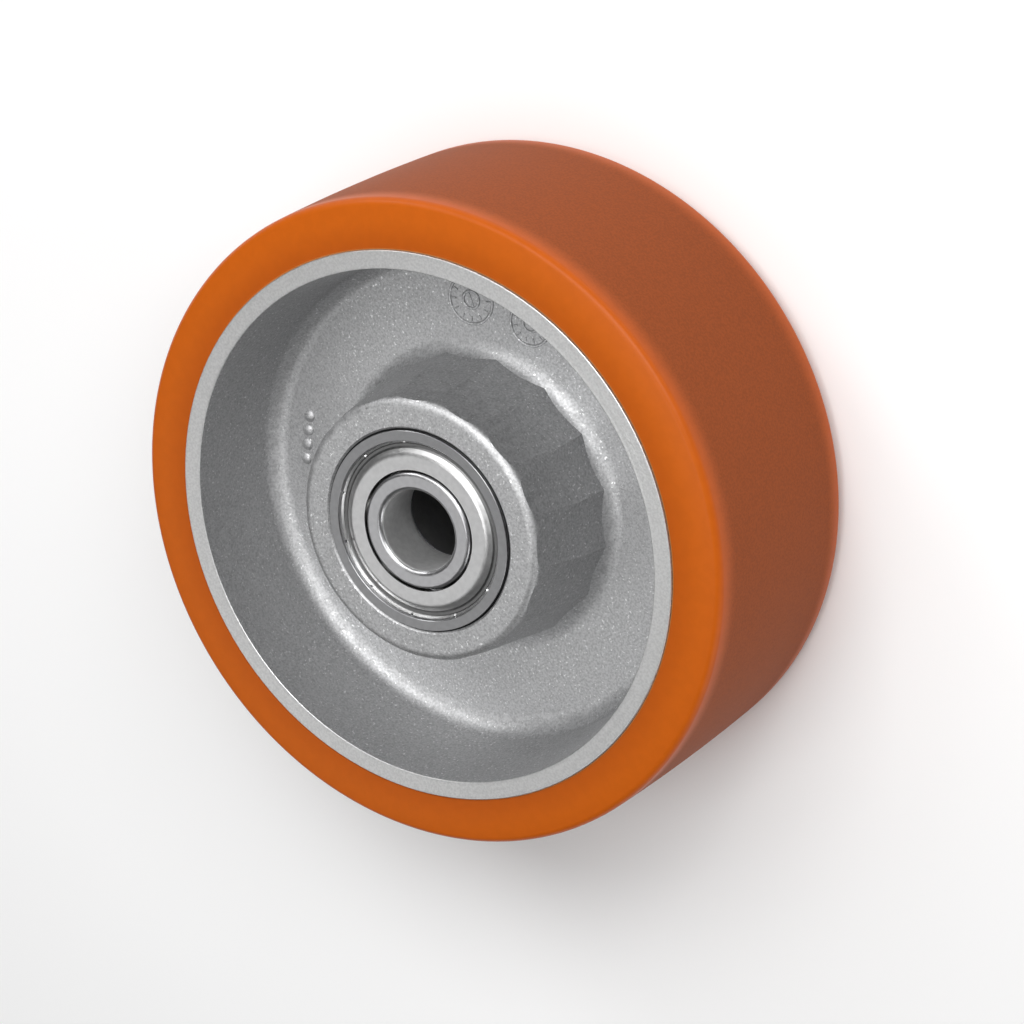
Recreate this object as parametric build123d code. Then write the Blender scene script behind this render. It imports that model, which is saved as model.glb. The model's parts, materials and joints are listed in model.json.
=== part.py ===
from build123d import *
from math import cos, radians, sin, tan
import os

# A heavy-duty caster wheel: a cast-aluminium centre with a bonded polyurethane tread, on two
# shielded ball bearings with a spacer tube between their inner rings.
# Millimetres. The wheel's axis is Z and its centre is the origin. The front face looks along +Z.

# Tread
wheel_diameter = 200.0
tread_thickness = 15.5
tread_setback = 0.8
crown_drop = 1.1
tread_corner = 3.2
tread_joint_edge = 0.15

# Wheel centre
rim_width = 78.0
rim_lip_thickness = 5.5
rim_lip_edge = 0.25
rim_draft = 5.8
web_thickness = 10.0
foot_rounding = 6.0
foot_land = 3.0
foot_sink = 0.4
hub_wall = 9.0
hub_flats = 16
hub_draft = 7.3
hub_edge_rounding = 2.8
hub_corner_trim = 0.35
seat_mouth_chamfer = 1.0
seat_shoulder = 3.5

# Bearings, both alike. Clamp width is over the two inner rings, where a fork grips them.
clamp_width = 80.0
ring_proud = 0.3
bearing_bore = 25.0
bearing_diameter = 62.0
bearing_width = 17.0
ring_edge = 1.5
ball_diameter = 11.5
ball_count = 7
race_conformity = 0.52
ball_clearance = 0.05
inner_shoulder_depth = 2.1
outer_shoulder_depth = 2.2
shoulder_edge = 1.2
front_ball_turn = 0.0
back_ball_turn = 17.0

# Shields, pressed from sheet and crimped into a recess in the outer ring
shield_sheet = 0.45
shield_recess_past_groove = 0.05
shield_recess_depth = 2.2
shield_face_depth = 0.45
shield_gap = 0.7
shield_cone_width = 2.3
shield_floor_width = 1.1
shield_lip_angle = 55.0
shield_lip_length = 1.15
shield_shoulder_bend = 2.4
shield_bend = 0.6
shield_crimps = 11
shield_notch = 0.8
shield_turn = -26.0
shield_fit = 0.02

# Ball cages, two pressed ribbons riveted together between the balls
cage_sheet = 0.9
cage_width = 5.0
cage_clearance = 0.15
rivet_diameter = 1.6
rivet_head_diameter = 3.0
rivet_head_height = 0.7
rivet_head_edge = 0.55

# Spacer tube
spacer_clearance = 0.3
spacer_wall = 3.7

# Worked out from the sizes above
wheel_radius = wheel_diameter / 2
rim_radius = wheel_radius - tread_thickness
tread_width = rim_width - 2 * tread_setback
hub_width = clamp_width - 2 * ring_proud
seat_floor = clamp_width / 2 - bearing_width
bearing_radius = bearing_diameter / 2
bore_radius = bearing_bore / 2
bearing_height = (clamp_width - bearing_width) / 2
half_bearing = bearing_width / 2
ball_radius = ball_diameter / 2
pitch_radius = (bore_radius + bearing_radius) / 2
race_radius = race_conformity * ball_diameter
inner_race_bottom = pitch_radius - ball_radius - ball_clearance
outer_race_bottom = pitch_radius + ball_radius + ball_clearance
inner_shoulder_radius = inner_race_bottom + inner_shoulder_depth
outer_shoulder_radius = outer_race_bottom - outer_shoulder_depth
recess_radius = outer_race_bottom + shield_recess_past_groove
recess_floor = half_bearing - shield_recess_depth


def turned(*corners):
    """A solid of revolution about Z. Each corner is (radius, height, rounding)."""
    points = [(radius, height) for radius, height, rounding in corners]
    roundings = [rounding for radius, height, rounding in corners]
    outline = FilletPolyline(*points, radius=roundings, close=True)
    return revolve(Plane.XZ * make_face(outline), Axis.Z)


def both_sides(*corners):
    """A solid of revolution, symmetric about Z = 0, from the corners of its upper half."""
    lower = [(radius, -height, rounding) for radius, height, rounding in reversed(corners)]
    return turned(*corners, *lower)


def hub_flat_radius(height):
    """Distance from the axis to the hub's flats, at a height from the wheel's centre."""
    face_radius = bearing_radius + hub_wall
    return face_radius + (hub_width / 2 - abs(height)) * tan(radians(hub_draft))


def rim_wall_radius(height):
    """Radius of the rim's drafted inner wall, at a height from the wheel's centre."""
    lip_radius = rim_radius - rim_lip_thickness
    return lip_radius - (rim_width / 2 - abs(height)) * tan(radians(rim_draft))


def rim_and_web():
    """The rim and the web, with a rounded foot at the rim and another at the hub."""
    web_face = web_thickness / 2
    foot_top = web_face + foot_rounding + foot_land
    return both_sides(
        (bearing_radius, foot_top, 0),
        (hub_flat_radius(foot_top) - foot_sink, foot_top, 0),
        (hub_flat_radius(web_face) - foot_sink, web_face, foot_rounding),
        (rim_wall_radius(web_face), web_face, foot_rounding),
        (rim_wall_radius(rim_width / 2), rim_width / 2, rim_lip_edge),
        (rim_radius, rim_width / 2, rim_lip_edge),
    )


def hub_half():
    """The hub's upper half: drafted flats that fade out towards a round face edge."""
    top = hub_width / 2
    side_to_corner = 1 / cos(radians(180 / hub_flats))
    middle_corner = hub_flat_radius(0) * side_to_corner
    middle = RegularPolygon(middle_corner, hub_flats)
    face = Pos(0, 0, top) * RegularPolygon(hub_flat_radius(top) * side_to_corner, hub_flats)
    envelope = turned(
        (0, 0, 0),
        (middle_corner + hub_corner_trim, 0, 0),
        (hub_flat_radius(top) + hub_corner_trim, top, hub_edge_rounding),
        (0, top, 0),
    )
    return loft([middle, face], ruled=True) & envelope


def hub_bore():
    """What is bored out of the hub: two bearing seats and the wider-cored hole between them."""
    top = hub_width / 2
    above = top + seat_mouth_chamfer
    mouth = bearing_radius + seat_mouth_chamfer
    return both_sides(
        (0, above, 0),
        (mouth, above, 0),
        (mouth, top, 0),
        (bearing_radius, top - seat_mouth_chamfer, 0),
        (bearing_radius, seat_floor, 0),
        (bearing_radius - seat_shoulder, seat_floor, 0),
    )


def wheel_centre():
    """The aluminium casting: rim, web and faceted hub in one piece."""
    front = hub_half()
    return rim_and_web() + front + mirror(front, Plane.XY) - hub_bore()


def tread():
    """The polyurethane ring: crowned, with rounded corners, cast on to the rim."""
    side = tread_width / 2
    edge_radius = wheel_radius - crown_drop
    crown = ThreePointArc((edge_radius, side), (wheel_radius, 0), (edge_radius, -side))
    rest = Polyline((edge_radius, -side), (rim_radius, -side), (rim_radius, side), (edge_radius, side))
    section = make_face(crown + rest)
    corners = section.vertices().sort_by(Axis.X)
    section = fillet(corners[-2:], tread_corner)
    section = fillet(section.vertices().sort_by(Axis.X)[:2], tread_joint_edge)
    return revolve(Plane.XZ * section, Axis.Z)


def spacer_tube():
    """The tube that holds the two inner rings apart."""
    inside = bore_radius + spacer_clearance
    return both_sides((inside, seat_floor, 0), (inside + spacer_wall, seat_floor, 0))


def inner_ring():
    """Inner ring with its ball groove."""
    land = inner_shoulder_radius - bore_radius
    blank = both_sides(
        (bore_radius, half_bearing, min(ring_edge, land / 2)),
        (inner_shoulder_radius, half_bearing, min(shoulder_edge, land / 3)),
    )
    return blank - Torus(inner_race_bottom + race_radius, race_radius)


def outer_ring():
    """Outer ring with its ball groove and a stepped recess at each side for the shields."""
    land = bearing_radius - recess_radius
    blank = both_sides(
        (outer_shoulder_radius, recess_floor, 0),
        (recess_radius, recess_floor, 0),
        (recess_radius, half_bearing, min(shoulder_edge, land / 3)),
        (bearing_radius, half_bearing, min(ring_edge, land / 2)),
    )
    return blank - Torus(outer_race_bottom - race_radius, race_radius)


def ball_places():
    """Where the balls stand round the pitch circle."""
    return [Rot(0, 0, 360 * turn / ball_count) * Pos(pitch_radius, 0, 0) for turn in range(ball_count)]


def rivet_places():
    """Where the rivets stand, half-way between the balls."""
    return [Rot(0, 0, 180 / ball_count) * place for place in ball_places()]


def cage_half():
    """One pressed ribbon, above Z = 0: round pockets over the balls, flat lands between them."""
    pocket_radius = ball_radius + cage_clearance
    height = pocket_radius + cage_sheet
    inside = pitch_radius - cage_width / 2
    outside = pitch_radius + cage_width / 2
    ribbon = turned((inside, 0, 0), (outside, 0, 0), (outside, cage_sheet, 0), (inside, cage_sheet, 0))
    domes = Part() + [place * Sphere(pocket_radius + cage_sheet) for place in ball_places()]
    band = turned((inside, 0, 0), (outside, 0, 0), (outside, height, 0), (inside, height, 0))
    pockets = Part() + [place * Sphere(pocket_radius) for place in ball_places()]
    holes = Part() + [place * Cylinder(rivet_diameter / 2, ball_diameter) for place in rivet_places()]
    return ribbon + (domes & band) - pockets - holes


def cage_rivets():
    """The rivets that hold the two ribbons together, each with a domed head at both ends."""
    rivet = both_sides(
        (0, cage_sheet + rivet_head_height, 0),
        (rivet_head_diameter / 2, cage_sheet + rivet_head_height, rivet_head_edge),
        (rivet_head_diameter / 2, cage_sheet, 0),
        (rivet_diameter / 2, cage_sheet, 0),
    )
    return Compound(children=[place * rivet for place in rivet_places()])


def shield():
    """The upper shield: a flat ring, a cone down to the recess floor and a lip crimped outwards."""
    inside = inner_shoulder_radius + shield_gap
    flat_height = half_bearing - shield_face_depth - shield_sheet / 2
    floor_height = recess_floor + shield_sheet / 2
    lip_angle = radians(shield_lip_angle)
    lip_radius = recess_radius - shield_fit - sin(lip_angle) * shield_sheet / 2
    lip_height = floor_height + shield_lip_length * sin(lip_angle)
    lip_foot = lip_radius - shield_lip_length * cos(lip_angle)
    cone_foot = lip_foot - shield_floor_width
    bends = FilletPolyline(
        (inside, flat_height),
        (cone_foot - shield_cone_width, flat_height),
        (cone_foot, floor_height),
        (lip_foot, floor_height),
        (lip_radius, lip_height),
        radius=[shield_shoulder_bend, shield_bend, shield_bend],
    )
    disc = revolve(Plane.XZ * trace(bends, shield_sheet), Axis.Z)
    aligned = (Align.MIN, Align.CENTER, Align.MIN)
    notch = Box(recess_radius - lip_foot, shield_notch, half_bearing, align=aligned)
    notch = Pos(lip_foot, 0, floor_height + shield_sheet) * notch
    for turn in range(shield_crimps):
        disc -= Rot(0, 0, shield_turn + 360 * turn / shield_crimps) * notch
    return disc


def rings_and_shields():
    """The pieces of a bearing that are round, by name. The outer side looks along +Z."""
    return {
        "inner_ring": inner_ring(),
        "outer_ring": outer_ring(),
        "outer_shield": shield(),
        "inner_shield": mirror(shield(), Plane.XY),
    }


def ball_set():
    """The pieces of a bearing that go round together between its rings, by name."""
    pieces = {
        "cage_outer_half": cage_half(),
        "cage_inner_half": mirror(cage_half(), Plane.XY),
        "cage_rivets": cage_rivets(),
    }
    for number, place in enumerate(ball_places(), start=1):
        pieces[f"ball_{number}"] = place * Sphere(ball_radius)
    return pieces


def bearing(name, place, ball_turn):
    """Every piece of one bearing, by name, put in its seat with its ball set turned by some degrees."""
    pieces = rings_and_shields()
    for piece, shape in ball_set().items():
        pieces[piece] = Rot(0, 0, ball_turn) * shape
    return {f"{name}_{piece}": place * shape for piece, shape in pieces.items()}


front_place = Pos(0, 0, bearing_height)
back_place = Pos(0, 0, -bearing_height) * Rot(180, 0, 0)

parts = {"wheel_centre": wheel_centre(), "tread": tread(), "spacer_tube": spacer_tube()}
parts.update(bearing("front_bearing", front_place, front_ball_turn))
parts.update(bearing("back_bearing", back_place, back_ball_turn))

os.makedirs("parts", exist_ok=True)
for node, shape in parts.items():
    export_step(shape, f"parts/{node}.step")
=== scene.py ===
"""Looks of a heavy-duty caster wheel.

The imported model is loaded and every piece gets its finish. The tread is replaced by a ring whose sides fall
away softly, the bearings' outer rings get crisp ground faces, and the web gets its raised casting marks.
Then come the floor, the light and the camera.
Metres. The wheel's axis is Z, its centre is the origin and its front face looks along +Z.
"""

from __future__ import annotations

import json
import logging
import math
from dataclasses import dataclass
from enum import Enum
from functools import cached_property

import bmesh
import bpy
from mathutils import Matrix, Vector


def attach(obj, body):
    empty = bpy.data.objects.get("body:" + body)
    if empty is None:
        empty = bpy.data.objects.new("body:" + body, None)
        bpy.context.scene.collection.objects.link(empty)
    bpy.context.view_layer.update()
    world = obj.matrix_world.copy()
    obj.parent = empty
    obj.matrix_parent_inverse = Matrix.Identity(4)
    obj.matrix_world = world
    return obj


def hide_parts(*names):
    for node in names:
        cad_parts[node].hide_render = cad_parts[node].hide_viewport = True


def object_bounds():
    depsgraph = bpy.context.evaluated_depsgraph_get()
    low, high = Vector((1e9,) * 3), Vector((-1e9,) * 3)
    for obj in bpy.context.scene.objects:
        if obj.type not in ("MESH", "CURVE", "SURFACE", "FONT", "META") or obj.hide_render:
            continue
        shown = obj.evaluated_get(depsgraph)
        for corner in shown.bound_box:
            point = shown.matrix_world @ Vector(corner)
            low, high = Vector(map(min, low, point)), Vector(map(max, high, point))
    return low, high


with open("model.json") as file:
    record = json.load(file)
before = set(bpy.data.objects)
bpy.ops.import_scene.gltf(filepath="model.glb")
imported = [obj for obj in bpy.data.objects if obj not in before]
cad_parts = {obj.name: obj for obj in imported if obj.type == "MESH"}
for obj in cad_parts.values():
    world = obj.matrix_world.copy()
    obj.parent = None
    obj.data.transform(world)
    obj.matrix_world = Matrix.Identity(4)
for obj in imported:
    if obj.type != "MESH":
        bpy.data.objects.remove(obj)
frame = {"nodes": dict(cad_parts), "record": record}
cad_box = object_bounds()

LOG = logging.getLogger("caster_wheel")
MM = 0.001

# What several pieces and finishes share
WEB_HEIGHT = 5.0 * MM
RIM_RADIUS = 84.5 * MM
TREAD_SIDE_HEIGHT = 38.2 * MM
ROUND_STEPS = 256
SHARP_ANGLE = math.radians(25)
ACROSS_AXIS = (1, 1, 0)
RINGS_DETAIL = 2.0

Colour = tuple[float, float, float]
Socket = bpy.types.NodeSocket


@dataclass(frozen=True)
class Span:
    """A smooth change from start to end, while what is measured goes from low to high."""

    low: float
    high: float
    start: float = 0.0
    end: float = 1.0


@dataclass(frozen=True)
class Noise:
    """An uneven pattern: the size of its largest lumps in metres, and how many finer layers lie on them."""

    size: float
    detail: float


def rgba(colour: Socket | Colour) -> Socket | tuple[float, ...]:
    """A colour in the form that a node's input takes."""
    return colour if isinstance(colour, Socket) else (*colour, 1.0)


class Graph:
    """The node tree of one material, with the few kinds of node that the finishes share."""

    def __init__(self, name: str) -> None:
        """Start an empty material.

        Args:
            name: The material's name.
        """
        self.material = bpy.data.materials.new(name)
        self.material.use_nodes = True
        self.tree = self.material.node_tree
        self.tree.nodes.clear()

    @cached_property
    def place(self) -> Socket:
        """Where a point of the surface is, in metres."""
        return self.add("ShaderNodeTexCoord").outputs["Object"]

    @cached_property
    def radius(self) -> Socket:
        """How far a point is from the wheel's axis."""
        across = self.add("ShaderNodeVectorMath", {0: self.place, 1: ACROSS_AXIS}, operation="MULTIPLY")
        return self.add("ShaderNodeVectorMath", {0: across.outputs[0]}, operation="LENGTH").outputs["Value"]

    @cached_property
    def height(self) -> Socket:
        """How far a point is from the wheel's middle plane, towards either end."""
        return self.upright_part(self.place)

    @cached_property
    def facing(self) -> Socket:
        """How squarely the surface faces along the axis: 0 on an upright wall, 1 on a flat face."""
        return self.upright_part(self.add("ShaderNodeTexCoord").outputs["Normal"])

    def upright_part(self, vector: Socket) -> Socket:
        """How much of a vector goes along the axis, whichever way."""
        return self.math("ABSOLUTE", self.add("ShaderNodeSeparateXYZ", {0: vector}).outputs[2])

    def add(self, kind: str, inputs: dict | None = None, **settings: object) -> bpy.types.Node:
        """Add a node.

        Args:
            kind: The node's Blender type.
            inputs: Values or sockets for its inputs, by name or place.
            settings: The node's own settings.

        Returns:
            The new node.
        """
        node = self.tree.nodes.new(kind)
        for name, value in settings.items():
            setattr(node, name, value)
        for name, value in (inputs or {}).items():
            if isinstance(value, Socket):
                self.tree.links.new(value, node.inputs[name])
            else:
                node.inputs[name].default_value = value
        return node

    def math(self, operation: str, *values: float | Socket) -> Socket:
        """Add a Math node on one or two values and return its result."""
        return self.add("ShaderNodeMath", dict(enumerate(values)), operation=operation).outputs[0]

    def span(self, value: Socket, span: Span) -> Socket:
        """Turn what is measured into the result of a span."""
        inputs = {0: value, 1: span.low, 2: span.high, 3: span.start, 4: span.end}
        return self.add("ShaderNodeMapRange", inputs, interpolation_type="SMOOTHSTEP").outputs[0]

    def noise(self, noise: Noise) -> Socket:
        """Add an uneven pattern in space, from 0 to 1."""
        inputs = {"Vector": self.place, "Scale": 1 / noise.size, "Detail": noise.detail}
        return self.add("ShaderNodeTexNoise", inputs).outputs[0]

    def rings(self, where: Socket, pitch: float) -> Socket:
        """Uneven lines, about a pitch apart, along a radius or a height."""
        inputs = {"W": where, "Scale": 1 / pitch, "Detail": RINGS_DETAIL}
        return self.add("ShaderNodeTexNoise", inputs, noise_dimensions="1D").outputs[0]

    def rings_all_over(self, pitch: float) -> Socket:
        """Uneven lines round the axis, about a pitch apart, on faces and on walls."""
        return self.math("ADD", self.rings(self.height, pitch), self.rings(self.radius, pitch))

    def mix(self, share: Socket, first: Socket | float, second: Socket | float) -> Socket:
        """Mix two numbers by a share from 0 to 1."""
        return self.add("ShaderNodeMix", {0: share, 2: first, 3: second}).outputs[0]

    def mix_colour(self, share: Socket, first: Socket | Colour, second: Socket | Colour) -> Socket:
        """Mix two colours by a share from 0 to 1."""
        inputs = {0: share, 6: rgba(first), 7: rgba(second)}
        return self.add("ShaderNodeMix", inputs, data_type="RGBA").outputs[2]

    def tone(self, colour: Socket | Colour, value: Socket) -> Socket:
        """Darken a colour where a value is below 1, and lighten it where it is above."""
        return self.add("ShaderNodeHueSaturation", {"Value": value, "Color": rgba(colour)}).outputs[0]

    def relief(self, *layers: Socket) -> Socket:
        """Add layers of relief to the surface.

        Args:
            layers: The relief's layers, each a height in metres.

        Returns:
            The surface's normal under all of them.
        """
        total = layers[0]
        for layer in layers[1:]:
            total = self.math("ADD", total, layer)
        return self.add("ShaderNodeBump", {"Strength": 1.0, "Distance": 1.0, "Height": total}).outputs[0]

    def shade(self, colour: Socket, roughness: Socket, normal: Socket, metallic: float = 0.0,
              specular_level: float = 0.5) -> bpy.types.Material:
        """Close the tree with one Principled shader.

        Args:
            colour: The base colour.
            roughness: The roughness.
            normal: The normal under the relief.
            metallic: How metallic the surface is.
            specular_level: The shader's specular level, the same all over the surface.

        Returns:
            The material.
        """
        inputs = {"Base Color": colour, "Roughness": roughness, "Normal": normal, "Metallic": metallic}
        shader = self.add("ShaderNodeBsdfPrincipled", inputs)
        shader.inputs["Specular IOR Level"].default_value = specular_level
        self.add("ShaderNodeOutputMaterial", {"Surface": shader.outputs[0]})
        return self.material


@dataclass(frozen=True)
class CastAluminium:
    """Cast aluminium with a fine sandy skin, turned bright on the rim's faces and in the bearing seats.

    The skin has small pits and bright flakes, and its steep walls are darkened with painted shade. A dark
    line of painted shade marks the gap at the top of each bearing seat.
    """

    name: str = "cast_aluminium"
    skin: Colour = (0.62, 0.622, 0.627)
    pits: Colour = (0.46, 0.462, 0.467)
    flakes: Colour = (0.95, 0.952, 0.957)
    turned: Colour = (0.75, 0.75, 0.745)
    painted_seat_gap_shade: Colour = (0.06, 0.06, 0.062)
    skin_roughness: Span = Span(0.3, 0.7, 0.53, 0.63)
    flake_roughness: float = 0.28
    turned_roughness: float = 0.38
    grain: Noise = Noise(0.7 * MM, 3.0)
    grain_height: float = 0.027 * MM
    pits_end: Span = Span(0.32, 0.62)
    glint: Span = Span(0.3, 0.7, 0.90, 1.06)
    flake: Noise = Noise(0.8 * MM, 3.0)
    flakes_begin: Span = Span(0.615, 0.71)
    lump: Noise = Noise(2.4 * MM, 3.0)
    lump_height: float = 0.03 * MM
    groove: float = 0.2 * MM
    groove_height: float = 0.035 * MM
    painted_steep_wall_shade: Span = Span(0.15, 0.6, 0.86, 1.0)
    face_height: float = 38.85 * MM
    face_radius: float = 77.0 * MM
    seat_radius: float = 31.1 * MM
    past_mouth: Span = Span(31.25 * MM, 31.55 * MM)
    blend: float = 0.1 * MM

    def material(self) -> bpy.types.Material:
        """Build the material.

        Returns:
            The material.
        """
        graph = Graph(self.name)
        high = graph.span(graph.height, Span(self.face_height - self.blend, self.face_height))
        outer = graph.span(graph.radius, Span(self.face_radius - self.blend, self.face_radius))
        seat = graph.span(graph.radius, Span(self.seat_radius, self.seat_radius + self.blend, 1.0, 0.0))
        turned = graph.math("MAXIMUM", graph.math("MULTIPLY", high, outer), seat)

        grain = graph.noise(self.grain)
        lump = graph.noise(self.lump)
        flakes = graph.span(graph.noise(self.flake), self.flakes_begin)
        skin = graph.mix_colour(graph.span(grain, self.pits_end), self.pits, self.skin)
        skin = graph.mix_colour(flakes, skin, self.flakes)
        # Painted shade: steep walls are darkened in colour.
        skin = graph.tone(skin, graph.span(graph.facing, self.painted_steep_wall_shade))
        bright = graph.tone(self.turned, graph.span(grain, self.glint))
        colour = graph.mix_colour(turned, skin, bright)
        # Painted shade: a dark line in the gap at the top of each bearing seat.
        colour = graph.mix_colour(graph.span(graph.radius, self.past_mouth), self.painted_seat_gap_shade, colour)
        skin_roughness = graph.mix(flakes, graph.span(lump, self.skin_roughness), self.flake_roughness)
        roughness = graph.mix(turned, skin_roughness, self.turned_roughness)

        rough_skin = graph.math("ADD", graph.math("MULTIPLY", grain, self.grain_height),
                                graph.math("MULTIPLY", lump, self.lump_height))
        grooves = graph.math("MULTIPLY", graph.rings(graph.radius, self.groove), self.groove_height)
        normal = graph.relief(graph.mix(turned, rough_skin, grooves))
        return graph.shade(colour, roughness, normal, metallic=1.0)


@dataclass(frozen=True)
class Polyurethane:
    """Cast polyurethane: smooth and orange on its sides, ground and browner on the tread."""

    name: str = "polyurethane"
    joint: Colour = (0.42, 0.17, 0.05)
    inner_side: Colour = (0.42, 0.078, 0.0015)
    outer_side: Colour = (0.50, 0.100, 0.004)
    corner: Colour = (0.48, 0.090, 0.008)
    tread: Colour = (0.27, 0.057, 0.009)
    side_roughness: float = 0.36
    tread_roughness: float = 0.60
    specular_level: float = 0.15
    side_height: float = TREAD_SIDE_HEIGHT
    past_joint: Span = Span(RIM_RADIUS + 0.15 * MM, RIM_RADIUS + 0.5 * MM)
    outward: Span = Span(RIM_RADIUS, 94.9 * MM)
    past_side: Span = Span(0.0, 3.1 * MM)
    on_tread: Span = Span(1.6 * MM, 10.5 * MM)
    mottle: Noise = Noise(3.0 * MM, 4.0)
    mottle_tone: Span = Span(0.35, 0.65, 0.98, 1.02)
    speck: Noise = Noise(0.7 * MM, 2.0)
    speck_tone: Span = Span(0.35, 0.65, 0.91, 1.09)
    line: float = 0.35 * MM
    line_height: float = 0.006 * MM
    wave: Noise = Noise(12 * MM, 2.0)
    wave_height: float = 0.05 * MM

    def material(self) -> bpy.types.Material:
        """Build the material.

        Returns:
            The material.
        """
        graph = Graph(self.name)
        inside = graph.math("SUBTRACT", self.side_height, graph.height)
        on_tread = graph.span(inside, self.on_tread)

        side = graph.mix_colour(graph.span(graph.radius, self.outward), self.inner_side, self.outer_side)
        side = graph.mix_colour(graph.span(graph.radius, self.past_joint), self.joint, side)
        side = graph.mix_colour(graph.span(inside, self.past_side), side, self.corner)
        colour = graph.mix_colour(on_tread, side, self.tread)
        mottle = graph.span(graph.noise(self.mottle), self.mottle_tone)
        speck = graph.span(graph.noise(self.speck), self.speck_tone)
        colour = graph.tone(colour, graph.math("MULTIPLY", mottle, graph.mix(on_tread, 1.0, speck)))

        roughness = graph.mix(on_tread, self.side_roughness, self.tread_roughness)
        lines = graph.math("MULTIPLY", graph.rings_all_over(self.line), self.line_height)
        wave = graph.math("MULTIPLY", graph.noise(self.wave), self.wave_height)
        normal = graph.relief(lines, wave)
        return graph.shade(colour, roughness, normal, specular_level=self.specular_level)


class Lay(Enum):
    """How a steel surface was worked, and the height of the lines that this leaves, in metres."""

    GROUND = 0.0008 * MM
    PRESSED = 0.0004 * MM
    POLISHED = 0.0


@dataclass(frozen=True)
class PaintedBand:
    """A ring-shaped stretch of a surface between two radii, with its own tone of painted shade or painted
    highlight: 1 is that of the rest.
    """

    inner: float
    outer: float
    tone: float


@dataclass(frozen=True)
class Steel:
    """Bare steel, by the way it was worked. Its bore has the marks of the boring tool."""

    name: str
    lay: Lay
    colour: Colour
    roughness: float
    bore: Colour = (0.80, 0.80, 0.80)
    bore_roughness: float = 0.55
    bore_radius: float = 0.0
    bore_groove: float = 0.08 * MM
    bore_groove_height: float = 0.05 * MM
    painted_bands: tuple[PaintedBand, ...] = ()
    cloud: Noise = Noise(1.6 * MM, 4.0)
    cloud_tone: Span = Span(0.3, 0.7, 0.93, 1.03)
    wear: Noise = Noise(0.8 * MM, 4.0)
    wear_reach: Span = Span(0.3, 0.7, -0.04, 0.05)
    groove: float = 0.12 * MM
    edge: float = 0.05 * MM

    def step(self, graph: Graph, radius: float) -> Socket:
        """A share that goes from 0 to 1 across a radius."""
        return graph.span(graph.radius, Span(radius - self.edge, radius + self.edge))

    def material(self) -> bpy.types.Material:
        """Build the material.

        Returns:
            The material.
        """
        graph = Graph(self.name)
        in_bore = graph.span(graph.radius, Span(self.bore_radius, self.bore_radius + self.edge, 1.0, 0.0))
        colour = graph.mix_colour(in_bore, self.colour, self.bore)
        tone = graph.span(graph.noise(self.cloud), self.cloud_tone)
        # Painted shade and painted highlight in rings, each by its band's tone.
        for painted_band in self.painted_bands:
            share = graph.math("SUBTRACT", self.step(graph, painted_band.inner), self.step(graph, painted_band.outer))
            tone = graph.math("MULTIPLY", tone, graph.mix(share, 1.0, painted_band.tone))
        colour = graph.tone(colour, tone)

        reach = self.wear_reach
        worn = Span(reach.low, reach.high, self.roughness + reach.start, self.roughness + reach.end)
        roughness = graph.mix(in_bore, graph.span(graph.noise(self.wear), worn), self.bore_roughness)
        lines = graph.math("MULTIPLY", graph.rings_all_over(self.groove), self.lay.value)
        bored = graph.math("MULTIPLY", graph.rings(graph.height, self.bore_groove), self.bore_groove_height)
        normal = graph.relief(graph.mix(in_bore, lines, bored))
        return graph.shade(colour, roughness, normal, metallic=1.0)


class Finishes:
    """Every finish of the wheel, built once and handed out by the record's slot."""

    def __init__(self) -> None:
        """Build the materials."""
        finishes = (
            CastAluminium(),
            Polyurethane(),
            # The outer ring's face is darkened with painted shade.
            Steel("bearing_steel", Lay.GROUND, (0.53, 0.53, 0.54), 0.32, bore_radius=12.6 * MM,
                  painted_bands=(PaintedBand(27.0 * MM, 31.5 * MM, 0.62),)),
            Steel("polished_steel", Lay.POLISHED, (0.72, 0.72, 0.73), 0.06),
            # The shield's groove is darkened with painted shade, and its crimped lip is lightened with a
            # painted highlight.
            Steel("pressed_steel", Lay.PRESSED, (0.70, 0.70, 0.70), 0.36,
                  painted_bands=(PaintedBand(25.1 * MM, 26.75 * MM, 0.28), PaintedBand(26.8 * MM, 27.6 * MM, 1.25))),
            Steel("cage_steel", Lay.PRESSED, (0.50, 0.50, 0.49), 0.36),
            # The spacer tube's bore is dark with painted shade.
            Steel("turned_steel", Lay.GROUND, (0.50, 0.50, 0.51), 0.30, bore_radius=12.9 * MM,
                  bore=(0.16, 0.16, 0.16)),
        )
        self.by_slot = {finish.name: finish.material() for finish in finishes}
        self.slot_of = {part["node"]: part["material_slot"] for part in frame["record"]["subparts"]}

    def dress(self, node: str) -> None:
        """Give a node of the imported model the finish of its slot.

        Args:
            node: The node's name.
        """
        slots = frame["nodes"][node].data.materials
        slots.clear()
        slots.append(self.by_slot[self.slot_of[node]])
        LOG.info("%s: %s", node, self.slot_of[node])


def spin_round(shape: bmesh.types.BMesh, section: list, steps: int) -> None:
    """Turn a section once round the Z axis, into a closed ring.

    Args:
        shape: The mesh that holds the section.
        section: The section's vertices and edges.
        steps: How many steps the turn takes.
    """
    bmesh.ops.spin(shape, geom=section, cent=(0, 0, 0), axis=(0, 0, 1), dvec=(0, 0, 0), angle=math.tau,
                   steps=steps, use_merge=True, use_normal_flip=False, use_duplicate=False)


def edges_of(verts: list[bmesh.types.BMVert]) -> list[bmesh.types.BMEdge]:
    """The edges that meet at some vertices, each once."""
    return list(dict.fromkeys(edge for vert in verts for edge in vert.link_edges))


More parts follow.
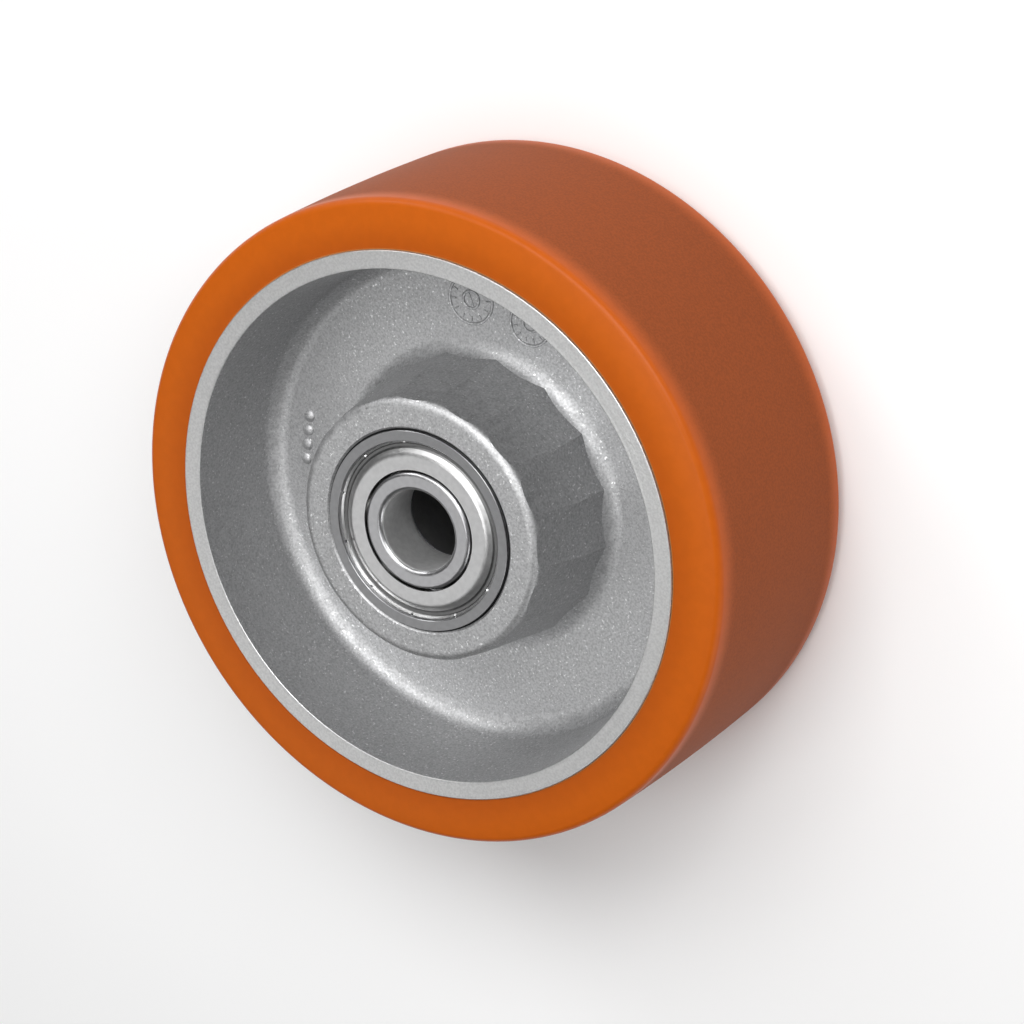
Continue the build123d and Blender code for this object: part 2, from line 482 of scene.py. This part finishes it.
def new_piece(name: str, shape: bmesh.types.BMesh, body: str, slot: str,
              finishes: Finishes) -> bpy.types.Object:
    """Make an object of a shape, dress it and let it move with a body.

    Args:
        name: The piece's name.
        shape: Its mesh, already in place. It is freed.
        body: The body that carries it.
        slot: The record's material slot that it takes its finish from.
        finishes: The wheel's finishes.

    Returns:
        The new object.
    """
    bmesh.ops.recalc_face_normals(shape, faces=shape.faces)
    mesh = bpy.data.meshes.new(name)
    shape.to_mesh(mesh)
    shape.free()
    for face in mesh.polygons:
        face.use_smooth = True
    mesh.materials.append(finishes.by_slot[slot])
    piece = bpy.data.objects.new(name, mesh)
    bpy.context.scene.collection.objects.link(piece)
    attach(piece, body)
    LOG.info("%s: %d faces", name, len(mesh.polygons))
    return piece


def on_web(azimuth: float, from_axis: float) -> Matrix:
    """A place on the web, by its azimuth in degrees and its distance from the axis."""
    turn = Matrix.Rotation(math.radians(azimuth), 4, "Z")
    return turn @ Matrix.Translation((from_axis, 0, WEB_HEIGHT))


@dataclass
class CastingDial:
    """A round casting dial: two raised rings with twelve ticks and a pointer, cast with the web."""

    name: str
    azimuth: float
    from_axis: float
    ring_radius: float
    pointer_turn: float
    inner_ring_share: float = 0.36
    ring_steps: int = 64
    wire: float = 0.50 * MM
    wire_sides: int = 10
    ticks: int = 12
    tick_length: float = 1.5 * MM
    tick_width: float = 0.5 * MM
    tick_height: float = 0.7 * MM
    pointer_share: float = 0.62
    pointer_width: float = 0.7 * MM
    pointer_height: float = 0.8 * MM
    bar_bevel_share: float = 0.35
    bar_bevel_segments: int = 2

    def ring(self, shape: bmesh.types.BMesh, radius: float) -> None:
        """Add a round wire, half sunk in the web.

        Args:
            shape: The dial's mesh, round the origin.
            radius: The radius of the wire's middle line.
        """
        section = bmesh.ops.create_circle(shape, segments=self.wire_sides, radius=self.wire)["verts"]
        upright = Matrix.Translation((radius, 0, 0)) @ Matrix.Rotation(math.pi / 2, 4, "X")
        bmesh.ops.transform(shape, matrix=upright, verts=section)
        spin_round(shape, section + edges_of(section), self.ring_steps)

    def bar(self, shape: bmesh.types.BMesh, size: tuple[float, float, float], place: Matrix) -> None:
        """Add a raised bar with soft edges.

        Args:
            shape: The dial's mesh, round the origin.
            size: The bar's length, width and height.
            place: Where its middle is, and how it is turned.
        """
        verts = bmesh.ops.create_cube(shape, size=1.0, matrix=place @ Matrix.Diagonal((*size, 1.0)))["verts"]
        bmesh.ops.bevel(shape, geom=edges_of(verts), offset=min(size) * self.bar_bevel_share,
                        offset_type="OFFSET", segments=self.bar_bevel_segments, profile=0.5,
                        affect="EDGES", material=-1)

    def build(self, finishes: Finishes) -> None:
        """Build the dial and put it on the web.

        Args:
            finishes: The wheel's finishes.
        """
        shape = bmesh.new()
        self.ring(shape, self.ring_radius)
        self.ring(shape, self.ring_radius * self.inner_ring_share)
        tick_size = (self.tick_length, self.tick_width, self.tick_height)
        out = Matrix.Translation((self.ring_radius - self.tick_length, 0, 0))
        for tick in range(self.ticks):
            self.bar(shape, tick_size, Matrix.Rotation(math.tau * tick / self.ticks, 4, "Z") @ out)
        pointer_size = (self.ring_radius * self.pointer_share, self.pointer_width, self.pointer_height)
        self.bar(shape, pointer_size, Matrix.Rotation(math.radians(self.pointer_turn), 4, "Z"))
        bmesh.ops.transform(shape, matrix=on_web(self.azimuth, self.from_axis), verts=shape.verts)
        new_piece(self.name, shape, "wheel", "cast_aluminium", finishes)


@dataclass
class CastingPips:
    """A short row of raised pips on the web, as a mould's cavity is marked."""

    name: str = "casting_pips"
    azimuth: float = 47.4
    from_axis: float = 62.8 * MM
    pitch: float = 4.7 * MM
    pip_radius: float = 1.9 * MM
    pip_height: float = 0.9 * MM
    pip_segments: int = 24
    pips: int = 4

    def build(self, finishes: Finishes) -> None:
        """Build the row and put it on the web.

        Args:
            finishes: The wheel's finishes.
        """
        shape = bmesh.new()
        size = Matrix.Diagonal((self.pip_radius, self.pip_radius, self.pip_height, 1.0))
        for number in range(self.pips):
            along = (number - (self.pips - 1) / 2) * self.pitch
            pip = bmesh.ops.create_uvsphere(shape, u_segments=self.pip_segments,
                                            v_segments=self.pip_segments // 2, radius=1.0)["verts"]
            bmesh.ops.transform(shape, matrix=Matrix.Translation((0, along, 0)) @ size, verts=pip)
        bmesh.ops.transform(shape, matrix=on_web(self.azimuth, self.from_axis), verts=shape.verts)
        new_piece(self.name, shape, "wheel", "cast_aluminium", finishes)


@dataclass
class WheelCentre:
    """The casting with its raised marks."""

    marks: tuple[CastingDial | CastingPips, ...] = (
        CastingDial("casting_dial_1", azimuth=-33.7, from_axis=61.0 * MM, ring_radius=7.4 * MM,
                    pointer_turn=20),
        CastingDial("casting_dial_2", azimuth=-53.5, from_axis=59.5 * MM, ring_radius=6.7 * MM,
                    pointer_turn=75),
        CastingPips(),
    )

    def build(self, finishes: Finishes) -> None:
        """Dress the casting and add its marks.

        Args:
            finishes: The wheel's finishes.
        """
        finishes.dress("wheel_centre")
        for mark in self.marks:
            mark.build(finishes)


@dataclass
class Tread:
    """The polyurethane ring. Its sides fall away softly towards the tread, as cast ones do."""

    name: str = "tread_ring"
    rim_radius: float = RIM_RADIUS
    side_height: float = TREAD_SIDE_HEIGHT
    shoulder_radius: float = 89.5 * MM
    edge_radius: float = 99.3 * MM
    edge_height: float = 37.1 * MM
    crown_radius: float = 99.96 * MM
    crown_steps: int = 12
    joint_edge: float = 0.15 * MM
    joint_segments: int = 2
    shoulder_bend: float = 4.0 * MM
    corner_bend: float = 2.1 * MM
    bend_segments: int = 8

    def crown(self, shape: bmesh.types.BMesh) -> list[bmesh.types.BMVert]:
        """Draw the crowned tread as one shallow arc.

        Args:
            shape: The mesh to draw in.

        Returns:
            The arc's two ends, the lower one first.
        """
        drop = self.crown_radius - self.edge_radius
        bow = (self.edge_height ** 2 + drop ** 2) / (2 * drop)
        sweep = 2 * math.asin(self.edge_height / bow)
        lower = shape.verts.new((self.edge_radius, 0, -self.edge_height))
        swept = bmesh.ops.spin(shape, geom=[lower], cent=(self.crown_radius - bow, 0, 0), axis=(0, -1, 0),
                               dvec=(0, 0, 0), angle=sweep, steps=self.crown_steps, use_merge=False,
                               use_normal_flip=False, use_duplicate=False)
        return [lower, swept["geom_last"][0]]

    def bend(self, shape: bmesh.types.BMesh, corners: list[bmesh.types.BMVert], offset: float,
             segments: int) -> None:
        """Round corners of the section.

        Args:
            shape: The mesh that holds the section.
            corners: The section's vertices to round.
            offset: How far from a corner its rounding starts.
            segments: How many steps the rounding has.
        """
        bmesh.ops.bevel(shape, geom=corners, offset=offset, offset_type="OFFSET", segments=segments,
                        profile=0.5, affect="VERTICES", material=-1)

    def build(self, finishes: Finishes) -> None:
        """Build the ring in place of the plain one and let it turn with the wheel.

        Args:
            finishes: The wheel's finishes.
        """
        shape = bmesh.new()
        edge = self.crown(shape)
        shoulder = [shape.verts.new((self.shoulder_radius, 0, side * self.side_height)) for side in (-1, 1)]
        joint = [shape.verts.new((self.rim_radius, 0, side * self.side_height)) for side in (-1, 1)]
        for side in (0, 1):
            shape.edges.new((edge[side], shoulder[side]))
            shape.edges.new((shoulder[side], joint[side]))
        shape.edges.new(joint)
        self.bend(shape, joint, self.joint_edge, self.joint_segments)
        self.bend(shape, shoulder, self.shoulder_bend, self.bend_segments)
        self.bend(shape, edge, self.corner_bend, self.bend_segments)
        spin_round(shape, shape.verts[:] + shape.edges[:], ROUND_STEPS)
        ring = new_piece(self.name, shape, "wheel", "polyurethane", finishes)
        ring.data.set_sharp_from_angle(angle=SHARP_ANGLE)
        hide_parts("tread")


@dataclass
class RingLand:
    """The ground face of a bearing's outer ring, with the crisp edges of the real one."""

    name: str
    side: int
    inner: float = 27.75 * MM
    outer: float = 30.85 * MM
    height: float = 39.998 * MM
    depth: float = 0.8 * MM
    edge: float = 0.12 * MM

    def build(self, finishes: Finishes) -> None:
        """Build the ring of metal and let it turn with the wheel.

        Args:
            finishes: The wheel's finishes.
        """
        shape = bmesh.new()
        corners = (
            (self.inner, self.height - self.depth),
            (self.inner, self.height - self.edge),
            (self.inner + self.edge, self.height),
            (self.outer - self.edge, self.height),
            (self.outer, self.height - self.edge),
            (self.outer, self.height - self.depth),
        )
        section = [shape.verts.new((radius, 0, height * self.side)) for radius, height in corners]
        edges = [shape.edges.new(pair) for pair in zip(section, section[1:] + section[:1])]
        spin_round(shape, section + edges, ROUND_STEPS)
        land = new_piece(self.name, shape, "wheel", "bearing_steel", finishes)
        land.data.set_sharp_from_angle(angle=SHARP_ANGLE)


@dataclass
class Bearings:
    """Both ball bearings and the spacer tube between them."""

    lands: tuple[RingLand, ...] = (
        RingLand("front_bearing_ring_land", side=1),
        RingLand("back_bearing_ring_land", side=-1),
    )

    def build(self, finishes: Finishes) -> None:
        """Dress every piece of the bearings and finish the outer rings' faces.

        Args:
            finishes: The wheel's finishes.
        """
        for node in sorted(frame["nodes"]):
            if "_bearing_" in node or node == "spacer_tube":
                finishes.dress(node)
        for land in self.lands:
            land.build(finishes)


@dataclass
class Softbox:
    """A square area light that looks at the wheel."""

    name: str
    azimuth: float
    elevation: float
    power: float
    side: float = 0.75
    distance: float = 1.5

    def build(self) -> None:
        """Make the light."""
        lamp = bpy.data.lights.new(self.name, "AREA")
        lamp.shape = "SQUARE"
        lamp.size = self.side
        lamp.energy = self.power
        holder = bpy.data.objects.new(self.name, lamp)
        up, round_z = math.radians(self.elevation), math.radians(self.azimuth)
        away = Vector((math.cos(up) * math.cos(round_z), math.cos(up) * math.sin(round_z), math.sin(up)))
        turn = away.to_track_quat("Z", "Y").to_matrix().to_4x4()
        holder.matrix_world = Matrix.Translation(away * self.distance) @ turn
        bpy.context.scene.collection.objects.link(holder)


@dataclass
class View:
    """The camera, at the photograph's viewing angle."""

    lens: float = 130.64
    frame_side: float = 1024.0
    elevation: float = 52.57
    roll: float = -120.52
    distance: float = 1.0865
    nearest: float = 0.05
    target: tuple[float, float, float] = (0.0, 0.0, 39.0 * MM)
    target_pixel: tuple[float, float] = (418.9, 530.5)

    def build(self) -> None:
        """Make the camera and let the scene use it."""
        lens = bpy.data.cameras.new("camera")
        lens.lens = self.lens
        lens.clip_start = self.nearest
        camera = bpy.data.objects.new("camera", lens)
        tilt = Matrix.Rotation(math.radians(90 - self.elevation), 4, "X")
        turn = tilt @ Matrix.Rotation(math.radians(self.roll), 4, "Z")
        metres_a_pixel = self.distance / (self.lens / lens.sensor_width * self.frame_side)
        right = (self.frame_side / 2 - self.target_pixel[0]) * metres_a_pixel
        up = (self.target_pixel[1] - self.frame_side / 2) * metres_a_pixel
        back = Matrix.Translation((right, up, self.distance))
        camera.matrix_world = Matrix.Translation(self.target) @ turn @ back
        bpy.context.scene.collection.objects.link(camera)
        bpy.context.scene.camera = camera


@dataclass
class Studio:
    """A plain pale floor under soft light."""

    floor_side: float = 16.0
    floor_colour: Colour = (0.93, 0.93, 0.93)
    floor_glow: Span = Span(0.4, 1.6, 0.03, 1.0)
    room_light: float = 0.09
    room_colour: Colour = (1.0, 1.0, 1.0)
    softboxes: tuple[Softbox, ...] = (
        Softbox("key_light", azimuth=-80, elevation=42, power=9.6),
        Softbox("front_light", azimuth=-46, elevation=52, power=9.0),
        Softbox("side_light", azimuth=-10, elevation=42, power=3.2),
        Softbox("edge_light", azimuth=4, elevation=22, power=3.4, side=0.40),
        Softbox("overhead_light", azimuth=0, elevation=90, power=5.5),
        Softbox("far_light", azimuth=90, elevation=45, power=1.6),
        Softbox("low_light", azimuth=-165, elevation=13, power=3.6),
    )

    def floor_material(self) -> bpy.types.Material:
        """Build a matt pale floor that also glows for the camera and for reflections, more so far away.

        Returns:
            The material.
        """
        graph = Graph("floor")
        rays = graph.add("ShaderNodeLightPath").outputs
        reflected = graph.math("MAXIMUM", rays["Is Glossy Ray"], rays["Is Transmission Ray"])
        seen = graph.math("MAXIMUM", rays["Is Camera Ray"], reflected)
        glow = graph.math("MULTIPLY", seen, graph.span(graph.radius, self.floor_glow))
        cloth = graph.add("ShaderNodeBsdfDiffuse", {"Color": rgba(self.floor_colour)}).outputs[0]
        shine = graph.add("ShaderNodeEmission", {"Strength": glow}).outputs[0]
        surface = graph.add("ShaderNodeAddShader", {0: cloth, 1: shine}).outputs[0]
        graph.add("ShaderNodeOutputMaterial", {"Surface": surface})
        return graph.material

    def floor(self) -> None:
        """Make the floor, near white but darker where the wheel shades it, and white far away."""
        shape = bmesh.new()
        bmesh.ops.create_grid(shape, x_segments=1, y_segments=1, size=self.floor_side / 2)
        bmesh.ops.translate(shape, verts=shape.verts, vec=(0, 0, cad_box[0].z))
        mesh = bpy.data.meshes.new("floor")
        shape.to_mesh(mesh)
        shape.free()
        mesh.materials.append(self.floor_material())
        floor = bpy.data.objects.new("floor", mesh)
        bpy.context.scene.collection.objects.link(floor)

    def world(self) -> None:
        """Light the room faintly and evenly."""
        world = bpy.data.worlds.new("room")
        world.use_nodes = True
        light = world.node_tree.nodes["Background"]
        light.inputs["Color"].default_value = rgba(self.room_colour)
        light.inputs["Strength"].default_value = self.room_light
        bpy.context.scene.world = world

    def build(self) -> None:
        """Make the floor and the light."""
        bpy.context.scene.view_settings.view_transform = "Standard"
        self.floor()
        self.world()
        for softbox in self.softboxes:
            softbox.build()


def main() -> None:
    """Build the camera, the wheel and the studio."""
    logging.basicConfig(level=logging.INFO, format="%(message)s")
    View().build()
    finishes = Finishes()
    for assembly in (WheelCentre(), Tread(), Bearings()):
        assembly.build(finishes)
    Studio().build()


if __name__ == "__main__":
    main()
